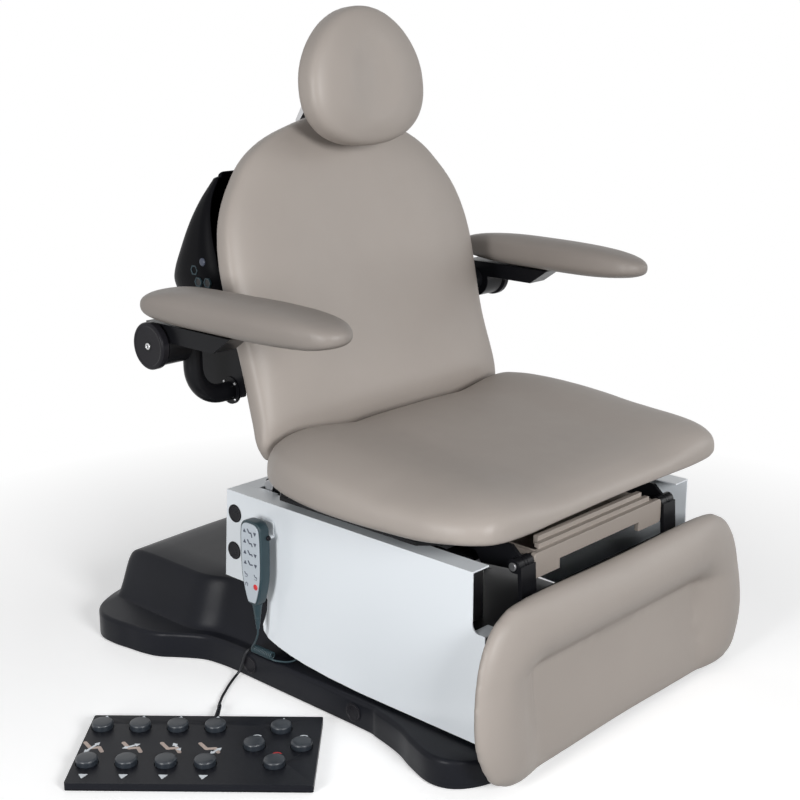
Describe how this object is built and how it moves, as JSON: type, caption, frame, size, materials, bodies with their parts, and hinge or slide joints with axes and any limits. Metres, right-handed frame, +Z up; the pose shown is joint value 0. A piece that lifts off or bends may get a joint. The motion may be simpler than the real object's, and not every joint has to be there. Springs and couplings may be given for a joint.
{
  "type": "procedure chair",
  "caption": "Powered procedure chair with taupe vinyl cushions, reclining back, swing-up arms, leg rest, head rest, white box over a lifting column, black base, hand and foot controls.",
  "frame": {"origin": "on the floor, on the axis of the lifting column", "axes": "+Z up, the chair faces -Y, the occupant's right side is -X and X = 0 is the chair's symmetry plane"},
  "size_m": [1.2526, 1.082, 1.1981],
  "materials": {
    "black_moulding": "fine satin texture",
    "foot_key_plastic": "soft gloss",
    "white_enamel": "smooth powder coat",
    "black_enamel": "black powder coat",
    "bright_steel": "zinc plated",
    "upholstery": "taupe grey vinyl",
    "taupe_plastic": "moulded, matches the upholstery",
    "knob_plastic": "moulded",
    "slate_plastic": "moulded",
    "keypad_film": "silver membrane",
    "cord_rubber": "matt",
    "foot_rubber": "matt"
  },
  "bodies": {
    "base": {"base_cover": "black_moulding", "base_frame": "black_enamel", "base_plugs": "black_moulding", "column_outer": "bright_steel", "lift_drive": "bright_steel", "mains_inlet": "black_moulding", "ledge_gland": "black_moulding", "foot_control_housing": "black_moulding", "foot_control_bottom": "black_enamel", "foot_control_feet": "foot_rubber", "foot_control_boot": "black_moulding", "foot_cord": "cord_rubber"},
    "column_middle": {"column_middle": "bright_steel"},
    "carriage": {"column_inner": "bright_steel", "lift_head": "black_enamel", "side_cover_right": "white_enamel", "side_cover_left": "white_enamel", "rear_cover": "white_enamel", "front_cover": "black_enamel", "cover_plugs": "black_moulding", "control_box": "black_moulding", "pendant_hook": "black_moulding", "pendant_body": "slate_plastic", "pendant_keypad": "keypad_film", "pendant_boot": "black_moulding", "pendant_cord": "cord_rubber"},
    "seat": {"seat_frame": "black_enamel", "seat_pan": "black_enamel", "seat_cushion": "upholstery", "hinge_pins": "bright_steel"},
    "leg_rest": {"leg_frame": "black_enamel", "leg_cushion": "upholstery"},
    "tray": {"tray": "taupe_plastic"},
    "back": {"back_frame": "black_enamel", "back_cushion": "upholstery", "back_shell": "black_moulding", "arm_tubes": "black_enamel"},
    "headrest_post": {"headrest_post": "bright_steel"},
    "headrest": {"headrest_bracket": "black_enamel", "headrest_cushion": "upholstery"},
    "arm_right": {"arm_bracket_right": "black_enamel", "arm_pad_right": "upholstery"},
    "arm_left": {"arm_bracket_left": "black_enamel", "arm_pad_left": "upholstery"},
    "knob_right": {"arm_knob_right": "knob_plastic"},
    "knob_left": {"arm_knob_left": "knob_plastic"},
    "foot_button_1": {"foot_button_1": "foot_key_plastic"},
    "foot_button_2": {"foot_button_2": "foot_key_plastic"},
    "foot_button_3": {"foot_button_3": "foot_key_plastic"},
    "foot_button_4": {"foot_button_4": "foot_key_plastic"},
    "foot_button_5": {"foot_button_5": "foot_key_plastic"},
    "foot_button_6": {"foot_button_6": "foot_key_plastic"},
    "foot_button_7": {"foot_button_7": "foot_key_plastic"},
    "foot_button_8": {"foot_button_8": "foot_key_plastic"},
    "foot_button_9": {"foot_button_9": "foot_key_plastic"},
    "foot_button_10": {"foot_button_10": "foot_key_plastic"},
    "foot_button_11": {"foot_button_11": "foot_key_plastic"},
    "foot_button_12": {"foot_button_12": "foot_key_plastic"}
  },
  "joints": [
    {"name": "lift", "type": "slide", "parent": "base", "child": "carriage", "axis": [0, 0, 1], "range_m": [0, 0.45]},
    {"name": "column_stage", "type": "slide", "parent": "base", "child": "column_middle", "axis": [0, 0, 1], "range_m": [0, 0.225]},
    {"name": "seat_tilt", "type": "hinge", "parent": "carriage", "child": "seat", "pos_m": [0, 0.14, 0.357], "axis": [-1, 0, 0], "range_deg": [0, 20]},
    {"name": "back_recline", "type": "hinge", "parent": "seat", "child": "back", "pos_m": [0, 0.13, 0.385], "axis": [-1, 0, 0], "range_deg": [0, 74]},
    {"name": "leg_rest_lift", "type": "hinge", "parent": "seat", "child": "leg_rest", "pos_m": [0, -0.398, 0.338], "axis": [-1, 0, 0], "range_deg": [0, 78]},
    {"name": "tray_slide", "type": "slide", "parent": "seat", "child": "tray", "axis": [0, 1, 0], "range_m": [-0.3, 0]},
    {"name": "headrest_height", "type": "slide", "parent": "back", "child": "headrest_post", "axis": [0, 0.2689, 0.9632], "range_m": [0, 0.1]},
    {"name": "headrest_tilt", "type": "hinge", "parent": "headrest_post", "child": "headrest", "pos_m": [0, 0.27159, 1.03566], "axis": [-1, 0, 0], "range_deg": [-5, 35]},
    {"name": "arm_right_swing", "type": "hinge", "parent": "back", "child": "arm_right", "pos_m": [-0.42, 0.21, 0.641], "axis": [-1, 0, 0], "range_deg": [0, 90]},
    {"name": "arm_left_swing", "type": "hinge", "parent": "back", "child": "arm_left", "pos_m": [0.42, 0.21, 0.641], "axis": [-1, 0, 0], "range_deg": [0, 90]},
    {"name": "knob_right_turn", "type": "hinge", "parent": "back", "child": "knob_right", "pos_m": [-0.454, 0.21, 0.641], "axis": [-1, 0, 0], "range_deg": [0, 360]},
    {"name": "knob_left_turn", "type": "hinge", "parent": "back", "child": "knob_left", "pos_m": [0.454, 0.21, 0.641], "axis": [1, 0, 0], "range_deg": [0, 360]},
    {"name": "foot_button_1_press", "type": "slide", "parent": "base", "child": "foot_button_1", "axis": [0, 0, -1], "range_m": [0, 0.003], "stiffness_N_per_m": 500, "springref_m": -0.001},
    {"name": "foot_button_2_press", "type": "slide", "parent": "base", "child": "foot_button_2", "axis": [0, 0, -1], "range_m": [0, 0.003], "stiffness_N_per_m": 500, "springref_m": -0.001},
    {"name": "foot_button_3_press", "type": "slide", "parent": "base", "child": "foot_button_3", "axis": [0, 0, -1], "range_m": [0, 0.003], "stiffness_N_per_m": 500, "springref_m": -0.001},
    {"name": "foot_button_4_press", "type": "slide", "parent": "base", "child": "foot_button_4", "axis": [0, 0, -1], "range_m": [0, 0.003], "stiffness_N_per_m": 500, "springref_m": -0.001},
    {"name": "foot_button_5_press", "type": "slide", "parent": "base", "child": "foot_button_5", "axis": [0, 0, -1], "range_m": [0, 0.003], "stiffness_N_per_m": 500, "springref_m": -0.001},
    {"name": "foot_button_6_press", "type": "slide", "parent": "base", "child": "foot_button_6", "axis": [0, 0, -1], "range_m": [0, 0.003], "stiffness_N_per_m": 500, "springref_m": -0.001},
    {"name": "foot_button_7_press", "type": "slide", "parent": "base", "child": "foot_button_7", "axis": [0, 0, -1], "range_m": [0, 0.003], "stiffness_N_per_m": 500, "springref_m": -0.001},
    {"name": "foot_button_8_press", "type": "slide", "parent": "base", "child": "foot_button_8", "axis": [0, 0, -1], "range_m": [0, 0.003], "stiffness_N_per_m": 500, "springref_m": -0.001},
    {"name": "foot_button_9_press", "type": "slide", "parent": "base", "child": "foot_button_9", "axis": [0, 0, -1], "range_m": [0, 0.003], "stiffness_N_per_m": 500, "springref_m": -0.001},
    {"name": "foot_button_10_press", "type": "slide", "parent": "base", "child": "foot_button_10", "axis": [0, 0, -1], "range_m": [0, 0.003], "stiffness_N_per_m": 500, "springref_m": -0.001},
    {"name": "foot_button_11_press", "type": "slide", "parent": "base", "child": "foot_button_11", "axis": [0, 0, -1], "range_m": [0, 0.003], "stiffness_N_per_m": 500, "springref_m": -0.001},
    {"name": "foot_button_12_press", "type": "slide", "parent": "base", "child": "foot_button_12", "axis": [0, 0, -1], "range_m": [0, 0.003], "stiffness_N_per_m": 500, "springref_m": -0.001}
  ],
  "couplings": [
    {"joint": "column_stage", "follows": "lift", "ratio": 0.5}
  ]
}
